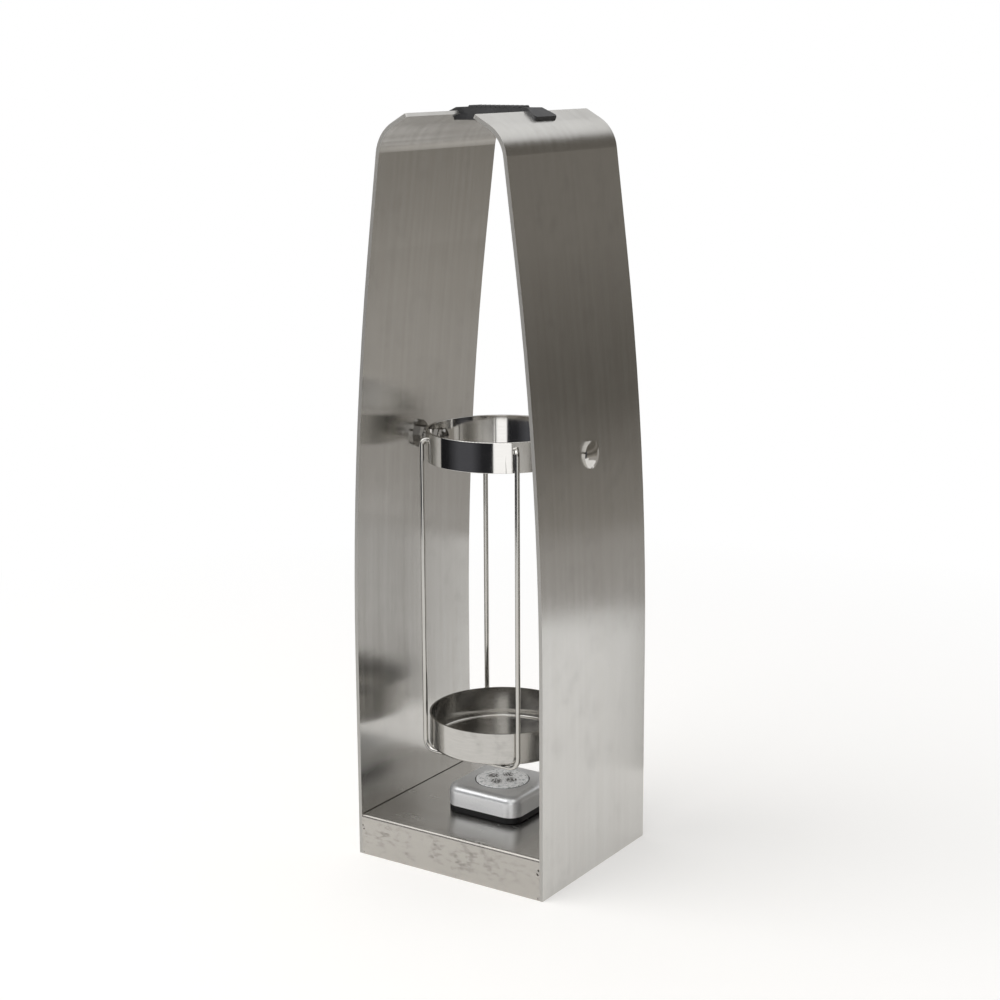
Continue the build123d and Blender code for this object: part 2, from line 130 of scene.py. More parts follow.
# Lines of brushing or polishing are 0.1 mm wide or less, and every steel draws them coarser so that they show
pan_steel = steel("brushed_stainless_pan", "#c8c6c2", "#cfcdca", grain=(140, 4, 4), rough=0.25, spread=0.7,
                  along=(1, 0, 0), smear=0.02, marks=1.0, mark_size=4)
tree = pan_steel.node_tree
pan_place = add(tree, "TexCoord")
at = add(tree, "SeparateXYZ", {0: pan_place.outputs["Object"]})
facing = add(tree, "SeparateXYZ", {0: pan_place.outputs["Normal"]})
upright = add(tree, "Math", {0: facing.outputs[1]}, operation="ABSOLUTE")
handled = add(tree, "MapRange", {0: upright.outputs[0], 1: 0.5, 2: 0.9, 3: 0.0, 4: 1.0})
# Marks are wiped out along the apron, and most of them are on its left half and midway up it
wipe_share = 0.45
apron_middle = 19 * MM
marked_band = (5 * MM, 15 * MM)
marked_length = (-10 * MM, 70 * MM)
wiped = add(tree, "Mapping", {"Vector": pan_place.outputs["Object"], "Scale": (wipe_share, 1, 1)})
tree.links.new(wiped.outputs[0], tree.nodes["spots"].inputs["Vector"])
leftwards = add(tree, "MapRange", {0: at.outputs[0], 1: marked_length[0], 2: marked_length[1], 3: 1.0, 4: 0.25})
off_middle = add(tree, "Math", {0: at.outputs[2], 1: apron_middle}, operation="SUBTRACT")
off_middle = add(tree, "Math", {0: off_middle.outputs[0]}, operation="ABSOLUTE")
midway = add(tree, "MapRange", {0: off_middle.outputs[0], 1: marked_band[0], 2: marked_band[1], 3: 1.0, 4: 0.15})
held = add(tree, "Math", {0: handled.outputs[0], 1: leftwards.outputs[0]}, operation="MULTIPLY")
held = add(tree, "Math", {0: held.outputs[0], 1: midway.outputs[0]}, operation="MULTIPLY")
soil = add(tree, "Math", {0: tree.nodes["soil"].outputs[0], 1: held.outputs[0]}, operation="MULTIPLY")
tree.links.new(soil.outputs[0], tree.nodes["tone"].inputs[0])
# Painted shade: the apron's face and, darker still, its upper fold are multiplied down from the floor's tone
shaded_fold_and_edge_wear = add(tree, "MapRange", {0: upright.outputs[0], 1: 0.1, 2: 0.3, 3: 0.0, 4: 1.0})
apron = add(tree, "MapRange", {0: upright.outputs[0], 1: 0.95, 2: 1.0, 3: 0.0, 4: 1.0})
fold_and_apron_shade = add(tree, "Mix", {0: apron.outputs[0], 6: linear("#c6c4c1"), 7: linear("#e4e2df")}, data_type="RGBA")
shaded_tone = add(tree, "Mix", {0: shaded_fold_and_edge_wear.outputs[0], 6: tree.nodes["tone"].outputs[2], 7: fold_and_apron_shade.outputs[2]},
             data_type="RGBA", blend_type="MULTIPLY")
tree.links.new(shaded_tone.outputs[2], tree.nodes["Principled BSDF"].inputs["Base Color"])
dress(pan_steel, "base_pan")


# Leaves: stainless sheet brushed along its length, bowed and bent at the crown. The outer face
# is brushed, the inner face keeps a smoother mill finish that bending has dulled under the crown,
# and the sheared edges are torn, so they scatter light and look dull.
leaf_steel = steel("brushed_stainless_leaf", "#cdcbc7", "#d6d5d2", grain=(60, 5, 180), rough=0.24, spread=0.8,
                   along=(0, 0, 1), smear=0.02, marks=0.08, mark_size=16)
bend_from, bend_to = 540 * MM, 575 * MM
smoother, smoother_in_bend = 0.03, 0.01
edge_facing = 0.7
torn_roughness = 0.5
torn_metal = 0.65
tree = leaf_steel.node_tree
leaf_place = add(tree, "TexCoord")
at = add(tree, "SeparateXYZ", {0: leaf_place.outputs["Object"]})
facing = add(tree, "SeparateXYZ", {0: leaf_place.outputs["Normal"]})
inwards = add(tree, "Math", {0: at.outputs[0], 1: facing.outputs[0]}, operation="MULTIPLY")
inner_face = add(tree, "Math", {0: inwards.outputs[0], 1: 0.0}, operation="LESS_THAN")
bent = add(tree, "MapRange", {0: at.outputs[2], 1: bend_from, 2: bend_to, 3: -smoother, 4: -smoother_in_bend})
inner = add(tree, "Math", {0: inner_face.outputs[0], 1: bent.outputs[0],
                           2: tree.nodes["roughness"].outputs[0]}, operation="MULTIPLY_ADD")
sideways = add(tree, "Math", {0: facing.outputs[1]}, operation="ABSOLUTE")
cut_edge = add(tree, "Math", {0: sideways.outputs[0], 1: edge_facing}, operation="GREATER_THAN")
sheared = add(tree, "Mix", {0: cut_edge.outputs[0], 2: inner.outputs[0], 3: torn_roughness})
tree.links.new(sheared.outputs[0], tree.nodes["Principled BSDF"].inputs["Roughness"])
dulled = add(tree, "Mix", {0: cut_edge.outputs[0], 6: tree.nodes["tone"].outputs[2], 7: linear("#b5b3af")},
             data_type="RGBA")
tree.links.new(dulled.outputs[2], tree.nodes["Principled BSDF"].inputs["Base Color"])
torn = add(tree, "MapRange", {0: cut_edge.outputs[0], 3: 1.0, 4: torn_metal})
tree.links.new(torn.outputs[0], tree.nodes["Principled BSDF"].inputs["Metallic"])
dress(leaf_steel, "left_leaf", "right_leaf")


# Joints of the pan and the leaves: a thin dark bead along each side of the floor, painted shade that stands for the
# shadow line in the joint, and small welds on the front and back corners, ground almost flush, whose pits stayed
# dark.
def raise_mesh(name, points, faces, material, body, smooth=True):
    """A new piece from points in metres and faces, which rides on a body."""
    mesh = bpy.data.meshes.new(name)
    mesh.from_pydata(points, [], faces)
    mesh.validate()
    if smooth:
        for face in mesh.polygons:
            face.use_smooth = True
    mesh.materials.append(material)
    piece = bpy.data.objects.new(name, mesh)
    bpy.context.scene.collection.objects.link(piece)
    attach(piece, body)
    return piece


burnt_crust = 1.5 * MM
burnt_weld_and_joint_shade, tree, shader, place = begin("burnt_weld_and_joint_shade", Metallic=0.5)
scale = add(tree, "TexNoise", {"Vector": place, "Scale": 1 / burnt_crust, "Detail": 4.0})
burn = add(tree, "Mix", {0: scale.outputs[0], 6: linear("#1d1a17"), 7: linear("#4f4840")}, data_type="RGBA")
tree.links.new(burn.outputs[2], shader.inputs["Base Color"])
crust = add(tree, "MapRange", {0: scale.outputs[0], 1: 0.3, 2: 0.7, 3: 0.5, 4: 0.75})
tree.links.new(crust.outputs[0], shader.inputs["Roughness"])
pan_low, pan_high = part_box("base_pan")
bead_radius = 0.7 * MM
bead_steps = 48
bead_sides = 5
bead_ends = 3.0 * MM
bead_wave = 4.0 * MM
bead_mean, bead_swell = 0.85, 0.3
# Painted shade: a dark bead along each side of the floor stands for the shadow line where floor and leaf meet
for side, sign in (("left", -1), ("right", 1)):
    bead_points = []
    bead_faces = []
    for i in range(bead_steps + 1):
        y = pan_low.y + bead_ends + (pan_high.y - pan_low.y - bead_ends * 2) * i / bead_steps
        swell = bead_radius * (bead_mean + bead_swell * noise.noise(Vector((sign, y / bead_wave, 0))))
        for j in range(bead_sides):
            turn = math.pi / 2 * j / (bead_sides - 1)
            bead_points.append((sign * (pan_high.x - swell * (1 - math.sin(turn))), y,
                                pan_high.z + swell * (1 - math.cos(turn))))
    for i in range(bead_steps):
        for j in range(bead_sides - 1):
            a = i * bead_sides + j
            bead_faces.append((a, a + 1, a + bead_sides + 1, a + bead_sides))
    joint = raise_mesh(f"{side}_floor_joint_shade", bead_points, bead_faces, burnt_weld_and_joint_shade, "frame")


def blob(name, centre, out, radius, rise, seed, material, body):
    """A small domed weld with a ragged rim, standing on a surface that faces out."""
    turn = Vector(out).to_track_quat("Z", "Y").to_matrix()
    rings, sides = 5, 14
    raggedness = 0.6
    points = []
    faces = []
    for i in range(rings + 1):
        for j in range(sides):
            angle = math.tau * j / sides
            ragged = 1 + raggedness * noise.noise(Vector((math.cos(angle), math.sin(angle), seed)))
            out_by = radius * ragged * math.cos(math.pi / 2 * i / rings)
            points.append(Vector(centre) + turn @ Vector((
                out_by * math.cos(angle), out_by * math.sin(angle), rise * math.sin(math.pi / 2 * i / rings))))
    for i in range(rings):
        for j in range(sides):
            k = (j + 1) % sides
            faces.append((i * sides + j, i * sides + k, (i + 1) * sides + k, (i + 1) * sides + j))
    return raise_mesh(name, points, faces, material, body)


ground_crust = 1.2 * MM
ground_weld, tree, shader, place = begin("ground_weld", Metallic=1.0)
scale = add(tree, "TexNoise", {"Vector": place, "Scale": 1 / ground_crust, "Detail": 5.0, "Roughness": 0.7})
tint = add(tree, "Mix", {0: scale.outputs[0], 6: linear("#8f8c87"), 7: linear("#c9c6c2")}, data_type="RGBA")
tree.links.new(tint.outputs[2], shader.inputs["Base Color"])
crust = add(tree, "MapRange", {0: scale.outputs[0], 1: 0.3, 2: 0.7, 3: 0.3, 4: 0.55})
tree.links.new(crust.outputs[0], shader.inputs["Roughness"])
weld_rise = 0.10 * MM
pit_rise = 0.14 * MM
smaller_left = 0.6
# Each spot's place across and up and its radius in mm, how far it stands out, and its metal
weld_spots = ((85.7, 23.6, 2.3, weld_rise, ground_weld), (85.0, 22.2, 1.15, pit_rise, burnt_weld_and_joint_shade),
              (86.2, 25.2, 0.95, pit_rise, burnt_weld_and_joint_shade), (85.9, 2.0, 1.3, weld_rise, ground_weld),
              (85.5, 1.6, 0.7, pit_rise, burnt_weld_and_joint_shade))
for front, y in (("front", pan_low.y), ("back", pan_high.y)):
    for side, sign in (("left", -1), ("right", 1)):
        share = 1.0 if sign > 0 else smaller_left
        for step, (across, height, radius, rise, metal) in enumerate(weld_spots):
            spot = blob(f"{front}_{side}_corner_weld_{step}", (sign * across * MM, y, height * MM),
                        (0, math.copysign(1, y), 0), radius * share * MM, rise,
                        step + sign + y / MM, metal, "frame")


# Carrying grip: two black ABS mouldings with a fine spark-eroded grain, rubbed a little paler
# along the edges, and two steel screws that hold them together from below, darkened as painted shade.
# Pits of the grain are about 0.2 mm across, and are drawn coarser here so that they show
grip_grain = 0.7 * MM
dust_patch = 14 * MM
black_abs, tree, shader, place = begin("moulded_black_abs", IOR=1.54)
grain = add(tree, "TexNoise", {"Vector": place, "Scale": 1 / grip_grain, "Detail": 3.0})
dust = add(tree, "TexNoise", {"Vector": place, "Scale": 1 / dust_patch, "Detail": 4.0})
shaded_fold_and_edge_wear = add(tree, "NewGeometry")
edges = add(tree, "MapRange", {0: shaded_fold_and_edge_wear.outputs["Pointiness"], 1: 0.5, 2: 0.62, 3: 0.0, 4: 0.5})
greyed = add(tree, "Math", {0: dust.outputs[0], 1: edges.outputs[0]}, operation="MULTIPLY")
black = add(tree, "Mix", {0: greyed.outputs[0], 6: linear("#1f1f20"), 7: linear("#56565a")}, data_type="RGBA")
tree.links.new(black.outputs[2], shader.inputs["Base Color"])
dull = add(tree, "MapRange", {0: dust.outputs[0], 1: 0.3, 2: 0.7, 3: 0.42, 4: 0.58})
tree.links.new(dull.outputs[0], shader.inputs["Roughness"])
pits = add(tree, "Bump", {"Height": grain.outputs[0], "Strength": 0.25, "Distance": 0.05 * MM})
tree.links.new(pits.outputs[0], shader.inputs["Normal"])
dress(black_abs, "grip_top", "grip_bar")
# This steel's colour is darkened: painted shade for the dim surroundings the hardware mirrors
machined_steel = steel("hardware_steel_darkened_as_shade", "#8b8986", "#a09e9b", grain=(1.2, 1.2, 1.2), rough=0.09,
                       smear=0.02)
dress(machined_steel, "grip_screws")


# Pivot hardware: polished cup-head bolts, turned washers, nuts, spacers and cap nuts in the
# grip screws' steel, darkened as painted shade, and off-white nylon bushes that the ring turns on.
polished_steel = steel("polished_stainless_hardware", "#cfccc7", "#dbd9d5", grain=(3, 3, 3), rough=0.10,
                       smear=0.03)
nylon_flow = 2 * MM
nylon, tree, shader, place = begin("moulded_nylon", IOR=1.53)
cast = add(tree, "TexNoise", {"Vector": place, "Scale": 1 / nylon_flow, "Detail": 3.0})
milky = add(tree, "Mix", {0: cast.outputs[0], 6: linear("#d5d1c4"), 7: linear("#e3e0d5")}, data_type="RGBA")
tree.links.new(milky.outputs[2], shader.inputs["Base Color"])
waxy = add(tree, "MapRange", {0: cast.outputs[0], 3: 0.35, 4: 0.5})
tree.links.new(waxy.outputs[0], shader.inputs["Roughness"])
for side in ("left", "right"):
    dress(polished_steel, f"{side}_pivot_bolt")
    dress(machined_steel, f"{side}_leaf_washer", f"{side}_lock_nut", f"{side}_spacer", f"{side}_cap_nut")
    dress(nylon, f"{side}_bush")


# Cradle ring: a rolled and mirror-polished band. Its polishing lines run round it, and its butt
# weld shows as a hair line on the front.
ring_steel = steel("mirror_polished_ring", "#d2d0cc", "#dad8d5", grain=(14, 14, 0.9), rough=0.075, spread=0.35,
                   smear=0.015)
tree = ring_steel.node_tree
seam_angle = math.radians(-52.5)
seam_width = 0.3 * MM
seam_waver, seam_wave = 0.8 * MM, 5 * MM
seam_top = 0.6
ring_place = add(tree, "TexCoord").outputs["Object"]
across = add(tree, "VectorMath", {0: ring_place, 1: (-math.sin(seam_angle), math.cos(seam_angle), 0)},
             operation="DOT_PRODUCT")
ahead = add(tree, "VectorMath", {0: ring_place, 1: (math.cos(seam_angle), math.sin(seam_angle), 0)},
            operation="DOT_PRODUCT")
waver = add(tree, "TexNoise", {"Vector": ring_place, "Scale": 1 / seam_wave, "Detail": 2.0})
shift = add(tree, "MapRange", {0: waver.outputs[0], 3: -seam_waver, 4: seam_waver})
off_line = add(tree, "Math", {0: across.outputs["Value"], 1: shift.outputs[0]}, operation="ADD")
away = add(tree, "Math", {0: off_line.outputs[0]}, operation="ABSOLUTE")
hair = add(tree, "MapRange", {0: away.outputs[0], 1: seam_width / 2, 2: seam_width, 3: 1.0, 4: 0.0})
in_front = add(tree, "Math", {0: ahead.outputs["Value"], 1: 0.0}, operation="GREATER_THAN")
height = add(tree, "SeparateXYZ", {0: ring_place})
ring_low, ring_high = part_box("cradle_ring")
seam_end = ring_low.z + (ring_high.z - ring_low.z) * seam_top
open_end = add(tree, "MapRange", {0: height.outputs[2], 1: seam_end, 2: ring_low.z})
seam = add(tree, "Math", {0: hair.outputs[0], 1: in_front.outputs[0]}, operation="MULTIPLY")
seam = add(tree, "Math", {0: seam.outputs[0], 1: open_end.outputs[0]}, operation="MULTIPLY")
lined = add(tree, "Mix", {0: seam.outputs[0], 6: tree.nodes["tone"].outputs[2], 7: linear("#55524d")},
            data_type="RGBA")
tree.links.new(lined.outputs[2], tree.nodes["Principled BSDF"].inputs["Base Color"])
dress(ring_steel, "cradle_ring")


# Cradle cup: a pan pressed from one stainless sheet, welded on to the wires' lower runs. Its satin
# polish runs round it, and handling has left faint grey marks.
cup_steel = steel("satin_polished_cup", "#b6b4b0", "#c4c2be", grain=(14, 14, 1.0), rough=0.17, spread=0.5,
                  smear=0.04, marks=0.25)
dress(cup_steel, "cradle_cup")


# Hanger wires: bright drawn stainless rod, bent cold to a U under the cup. Small welds hold it, ground
# bright on the ring and left dark under the cup.
wire_steel = steel("bright_drawn_wire", "#b7b5b0", "#c6c4c0", grain=(1.0, 1.0, 30), rough=0.10, smear=0.03)
dress(wire_steel, "front_wire", "back_wire")
cup_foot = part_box("cradle_cup")[0].z
wire_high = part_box("front_wire")[1]
wire_radius = 2.0 * MM
weld_height = wire_high.z - wire_radius
weld_radius, weld_stand = 2.6 * MM, 0.9 * MM
tack_radius, tack_stand, tack_sink = 2.9 * MM, 2.0 * MM, 0.2 * MM
tack_places = (23.5, 27.0, 30.5)
diagonal = math.sqrt(0.5)
for front, ahead_sign in (("front", -1), ("back", 1)):
    for side, sign in (("left", -1), ("right", 1)):
        way = Vector((sign * diagonal, ahead_sign * diagonal, 0))
        weld = blob(f"{front}_{side}_ring_weld", way * ring_high.x + Vector((0, 0, weld_height)), way,
                    weld_radius, weld_stand, sign + ahead_sign, wire_steel, "cradle")
        for step, across in enumerate(tack_places):
            foot = Vector((sign * across * MM, ahead_sign * (wire_high.x - wire_radius), cup_foot + tack_sink))
            tack = blob(f"{front}_{side}_cup_weld_{step}", foot, (0, 0, -1), tack_radius, tack_stand,
                        sign - ahead_sign + step, burnt_weld_and_joint_shade, "cradle")


# Push light, outside: a black moulded tray on a foam pad, and a shell sprayed with silver
# lacquer, whose fine flakes make it glitter a little.
tray_grain = 0.9 * MM
tray_abs, tree, shader, place = begin("moulded_black_tray", IOR=1.54, Specular_IOR_Level=0.25)
grain = add(tree, "TexNoise", {"Vector": place, "Scale": 1 / tray_grain, "Detail": 3.0})
black = add(tree, "Mix", {0: grain.outputs[0], 6: linear("#0a0a0b"), 7: linear("#161617")}, data_type="RGBA")
tree.links.new(black.outputs[2], shader.inputs["Base Color"])
dull = add(tree, "MapRange", {0: grain.outputs[0], 1: 0.3, 2: 0.7, 3: 0.36, 4: 0.5})
tree.links.new(dull.outputs[0], shader.inputs["Roughness"])
pits = add(tree, "Bump", {"Height": grain.outputs[0], "Strength": 0.2, "Distance": 0.04 * MM})
tree.links.new(pits.outputs[0], shader.inputs["Normal"])
dress(tray_abs, "light_base")

foam_cell = 0.8 * MM
foam, tree, shader, place = begin("adhesive_foam", Roughness=0.9)
bubbles = add(tree, "TexVoronoi", {"Vector": place, "Scale": 1 / foam_cell})
dark_foam = add(tree, "Mix", {0: bubbles.outputs[0], 6: linear("#17171a"), 7: linear("#2c2c30")},
                data_type="RGBA")
tree.links.new(dark_foam.outputs[2], shader.inputs["Base Color"])
dress(foam, "adhesive_pad")

# Flakes are about 0.05 mm across, and are drawn coarser here so that they show
flake_size = 0.5 * MM
silver, tree, shader, place = begin("silver_lacquer", Metallic=0.65, Coat_Weight=0.15, Coat_Roughness=0.2)
flakes = add(tree, "TexVoronoi", {"Vector": place, "Scale": 1 / flake_size})
flake = add(tree, "SeparateColor", {0: flakes.outputs["Color"]})
bright = add(tree, "Mix", {0: flake.outputs[0], 6: linear("#e0e1e3"), 7: linear("#e8e9ea")}, data_type="RGBA")
# Inside the window the moulding is drawn dark: painted shade of the gap round the lens
window_edge = 22.9 * MM
plan = add(tree, "VectorMath", {0: place, 1: (1, 1, 0)}, operation="MULTIPLY")
reach = add(tree, "VectorMath", {0: plan.outputs[0]}, operation="LENGTH")
gap_shade = add(tree, "Math", {0: reach.outputs["Value"], 1: window_edge}, operation="LESS_THAN")
gap_shaded = add(tree, "Mix", {0: gap_shade.outputs[0], 6: bright.outputs[2], 7: linear("#1b1b1c")}, data_type="RGBA")
tree.links.new(gap_shaded.outputs[2], shader.inputs["Base Color"])
sheen = add(tree, "MapRange", {0: flake.outputs[1], 3: 0.31, 4: 0.33})
tree.links.new(sheen.outputs[0], shader.inputs["Roughness"])
dress(silver, "light_housing")


# Push light, inside: cells in dark jackets, plated contacts, a white board, four diodes in resin, a
# metallised dish and the switch, which is moulded in the grip's black ABS.
jacket_end = 20 * MM
can, tree, shader, place = begin("cell_jacket", Metallic=0.4, Roughness=0.35)
along_cell = add(tree, "SeparateXYZ", {0: place})
from_middle = add(tree, "Math", {0: along_cell.outputs[0]}, operation="ABSOLUTE")
end_band = add(tree, "Math", {0: from_middle.outputs[0], 1: jacket_end}, operation="GREATER_THAN")
jacket = add(tree, "Mix", {0: end_band.outputs[0], 6: linear("#2b2d31"), 7: linear("#b9b7b2")}, data_type="RGBA")
tree.links.new(jacket.outputs[2], shader.inputs["Base Color"])
dress(can, "cells")

tarnish_size = 3 * MM
plated_brass, tree, shader, place = begin("nickel_plated_brass", Metallic=1.0)
tarnish = add(tree, "TexNoise", {"Vector": place, "Scale": 1 / tarnish_size, "Detail": 3.0})
plate = add(tree, "Mix", {0: tarnish.outputs[0], 6: linear("#b8ab87"), 7: linear("#d5cdb6")}, data_type="RGBA")
tree.links.new(plate.outputs[2], shader.inputs["Base Color"])
shine = add(tree, "MapRange", {0: tarnish.outputs[0], 3: 0.2, 4: 0.4})
tree.links.new(shine.outputs[0], shader.inputs["Roughness"])
dress(plated_brass, "cell_contacts")

track_pitch = 6 * MM
board_mask, tree, shader, place = begin("white_solder_mask", Roughness=0.4)
tracks = add(tree, "TexVoronoi", {"Vector": place, "Scale": 1 / track_pitch}, feature="DISTANCE_TO_EDGE")
track = add(tree, "MapRange", {0: tracks.outputs[0], 1: 0.04, 2: 0.07, 3: 1.0, 4: 0.0})
mask = add(tree, "Mix", {0: track.outputs[0], 6: linear("#e4e5e1"), 7: linear("#cfd1cb")}, data_type="RGBA")
tree.links.new(mask.outputs[2], shader.inputs["Base Color"])
dress(board_mask, "circuit_board")

dress(black_abs, "push_switch")

led_side = 5.0 * MM
diode_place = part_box("leds")[1].x - led_side / 2


def from_diode(tree, place):
    """Distance in plan from the nearest of the four diodes, which stand on the axes."""
    far = add(tree, "SeparateXYZ", {0: add(tree, "VectorMath", {0: place}, operation="ABSOLUTE").outputs[0]})
    longer = add(tree, "Math", {0: far.outputs[0], 1: far.outputs[1]}, operation="MAXIMUM")
    shorter = add(tree, "Math", {0: far.outputs[0], 1: far.outputs[1]}, operation="MINIMUM")
    beyond = add(tree, "Math", {0: longer.outputs[0], 1: diode_place}, operation="SUBTRACT")
    flat = add(tree, "CombineXYZ", {0: beyond.outputs[0], 1: shorter.outputs[0]})
    return add(tree, "VectorMath", {0: flat.outputs[0]}, operation="LENGTH").outputs["Value"]


phosphor_radius, phosphor_fade = 1.7 * MM, 1.9 * MM
diode_resin, tree, shader, place = begin("diode_resin", IOR=1.5, Roughness=0.2)
phosphor = add(tree, "MapRange", {0: from_diode(tree, place), 1: phosphor_radius, 2: phosphor_fade, 3: 1.0, 4: 0.0})
resin = add(tree, "Mix", {0: phosphor.outputs[0], 6: linear("#e8e8e4"), 7: linear("#cdb95e")}, data_type="RGBA")
tree.links.new(resin.outputs[2], shader.inputs["Base Color"])
dress(diode_resin, "leds")

dish_mouth = 6.0 * MM
metallised, tree, shader, place = begin("metallised_dish", IOR=1.54)
mirrored = add(tree, "MapRange", {0: from_diode(tree, place), 1: dish_mouth, 2: dish_mouth * 1.03, 3: 1.0, 4: 0.0})
tree.links.new(mirrored.outputs[0], shader.inputs["Metallic"])
coat = add(tree, "Mix", {0: mirrored.outputs[0], 6: linear("#ecece9"), 7: linear("#d3d4d6")}, data_type="RGBA")
tree.links.new(coat.outputs[2], shader.inputs["Base Color"])
gloss = add(tree, "MapRange", {0: mirrored.outputs[0], 3: 0.3, 4: 0.1})
tree.links.new(gloss.outputs[0], shader.inputs["Roughness"])
dress(metallised, "light_dish")


# Return springs: three small coils of spring wire between the board and the lens. They are drawn
# at rest length and ride on the frame, so they don't flatten when the lens is pressed.
spring_low, spring_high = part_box("lens_springs")
spring_count = 3
spring_place = 22.9 * MM
spring_mean = 1.35 * MM
spring_wire = 0.22 * MM
spring_turns = 4
turn_steps = 16
wire_sides = 6
coil_points = []
coil_faces = []
for copy in range(spring_count):
    bearing = math.radians(-90) + math.tau * copy / spring_count
    centre = Vector((spring_place * math.cos(bearing), spring_place * math.sin(bearing), 0))
    start = len(coil_points)
    steps = spring_turns * turn_steps
    rise = spring_high.z - spring_low.z - spring_wire * 2
    for i in range(steps + 1):
        turn = math.tau * i / turn_steps
        out = Vector((math.cos(turn), math.sin(turn), 0))
        middle = centre + out * spring_mean + Vector((0, 0, spring_low.z + spring_wire + rise * i / steps))
        for j in range(wire_sides):
            around = math.tau * j / wire_sides
            coil_points.append(middle + out * spring_wire * math.cos(around)
                               + Vector((0, 0, spring_wire * math.sin(around))))
    for i in range(steps):
        for j in range(wire_sides):
            k = (j + 1) % wire_sides
            a, b = start + i * wire_sides, start + (i + 1) * wire_sides
            coil_faces.append((a + j, a + k, b + k, b + j))
coils = raise_mesh("lens_coils", coil_points, coil_faces, machined_steel, "frame")
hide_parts("lens_springs")
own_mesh(coils)


# Push lens: clear polystyrene, smooth and slightly domed above. Below, radial flutes and fine
# steps round the rim scatter the light, and a pillow stands over each diode.
lens_low, lens_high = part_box("light_lens")
lens_radius = 21.7 * MM
flange_radius = lens_high.x
flange_top = lens_low.z + 1.2 * MM
shoulder = lens_high.z - 0.4 * MM
flute_inner = 12.0 * MM
flute_count = 48
flute_depth = 0.9 * MM
flute_run_in = 2.0 * MM
pillow_radius = 5.6 * MM
pillow_rise = 0.72 * MM
lens_sides = flute_count * 4
clear_lens, tree, shader, place = begin("clear_polystyrene", IOR=1.59, Transmission_Weight=0.15)
at = add(tree, "SeparateXYZ", {0: place})
turn = add(tree, "Math", {0: at.outputs[1], 1: at.outputs[0]}, operation="ARCTAN2")
plan = add(tree, "CombineXYZ", {0: at.outputs[0], 1: at.outputs[1]})
reach = add(tree, "VectorMath", {0: plan.outputs[0]}, operation="LENGTH")
prisms_round = 5.0
prism_length = 2.4 * MM
round_by = add(tree, "Math", {0: turn.outputs[0], 1: prisms_round}, operation="MULTIPLY")
out_by = add(tree, "Math", {0: reach.outputs["Value"], 1: prism_length}, operation="DIVIDE")
fan = add(tree, "CombineXYZ", {0: round_by.outputs[0], 1: out_by.outputs[0]})
prisms = add(tree, "TexNoise", {"Vector": fan.outputs[0], "Scale": 1.0, "Detail": 2.0, "Roughness": 0.7})
# Painted highlights: pale grey and white streaks in the clear plastic's colour stand for the glints of its prisms
spark = add(tree, "MapRange", {0: prisms.outputs[0], 1: 0.36, 2: 0.52, 3: 0.0, 4: 1.0})
bright = add(tree, "Mix", {0: spark.outputs[0], 6: linear("#b9bcbc"), 7: linear("#ffffff")}, data_type="RGBA")
# Painted reflections: dark broken patches round each diode stand for the diodes' images in the prisms
diode_gap = from_diode(tree, place)
image_radius, image_fade = 4.3 * MM, 5.0 * MM
image_piece = 3.2 * MM
diode_image_mask = add(tree, "MapRange", {0: diode_gap, 1: image_radius, 2: image_fade, 3: 1.0, 4: 0.0})
pieces = add(tree, "TexVoronoi", {"Vector": place, "Scale": 1 / image_piece}, feature="DISTANCE_TO_EDGE")
piece = add(tree, "MapRange", {0: pieces.outputs[0], 1: 0.05, 2: 0.1, 3: 0.0, 4: 1.0})
broken_diode_image = add(tree, "Math", {0: diode_image_mask.outputs[0], 1: piece.outputs[0]}, operation="MULTIPLY")
image = add(tree, "Mix", {0: broken_diode_image.outputs[0], 6: bright.outputs[2], 7: linear("#1d1c1b")}, data_type="RGBA")
tree.links.new(image.outputs[2], shader.inputs["Base Color"])
# Prisms throw light back to the eye, which a faint glow stands for
prism_glow = 0.16
tree.links.new(image.outputs[2], shader.inputs["Emission Color"])
shader.inputs["Emission Strength"].default_value = prism_glow
steps = add(tree, "Bump", {"Height": prisms.outputs[0], "Strength": 0.8, "Distance": 0.4 * MM})
tree.links.new(steps.outputs[0], shader.inputs["Normal"])
haze_patch = 4 * MM
haze = add(tree, "TexNoise", {"Vector": place, "Scale": 1 / haze_patch, "Detail": 3.0})
handled = add(tree, "MapRange", {0: haze.outputs[0], 3: 0.01, 4: 0.07})
tree.links.new(handled.outputs[0], shader.inputs["Roughness"])


def lens_floor(radius, angle):
    """Height of the lens's underside: flutes near the rim, pillows over the diodes."""
    if radius > flute_inner:
        share = min(1.0, (radius - flute_inner) / flute_run_in)
        return lens_low.z + flute_depth * share * abs(2 * (angle * flute_count / math.tau % 1) - 1)
    shorter, longer = sorted((abs(radius * math.cos(angle)), abs(radius * math.sin(angle))))
    inside = max(0.0, 1 - (shorter ** 2 + (longer - diode_place) ** 2) / pillow_radius ** 2)
    return lens_low.z + pillow_rise * (1 - inside)


top_radii = [lens_radius * share for share in (0.25, 0.5, 0.75, 0.9, 1.0)]
floor_radii = [lens_radius * share for share in (1.0, 0.96, 0.86, 0.76, 0.66, 0.57, 0.54, 0.48, 0.42, 0.36,
                                                 0.3, 0.22, 0.14, 0.07)]
profile = [(r, shoulder + (lens_high.z - shoulder) * (1 - (r / lens_radius) ** 2), True) for r in top_radii]
profile += [(lens_radius, flange_top, True), (flange_radius, flange_top, True), (flange_radius, lens_low.z, True)]
profile += [(r, None, False) for r in floor_radii]
lens_points = [Vector((0, 0, lens_high.z))]
for radius, height, fixed in profile:
    for j in range(lens_sides):
        angle = math.tau * j / lens_sides
        z = height if fixed else lens_floor(radius, angle)
        lens_points.append(Vector((radius * math.cos(angle), radius * math.sin(angle), z)))
lens_points.append(Vector((0, 0, lens_floor(0, 0))))
lens_faces = []
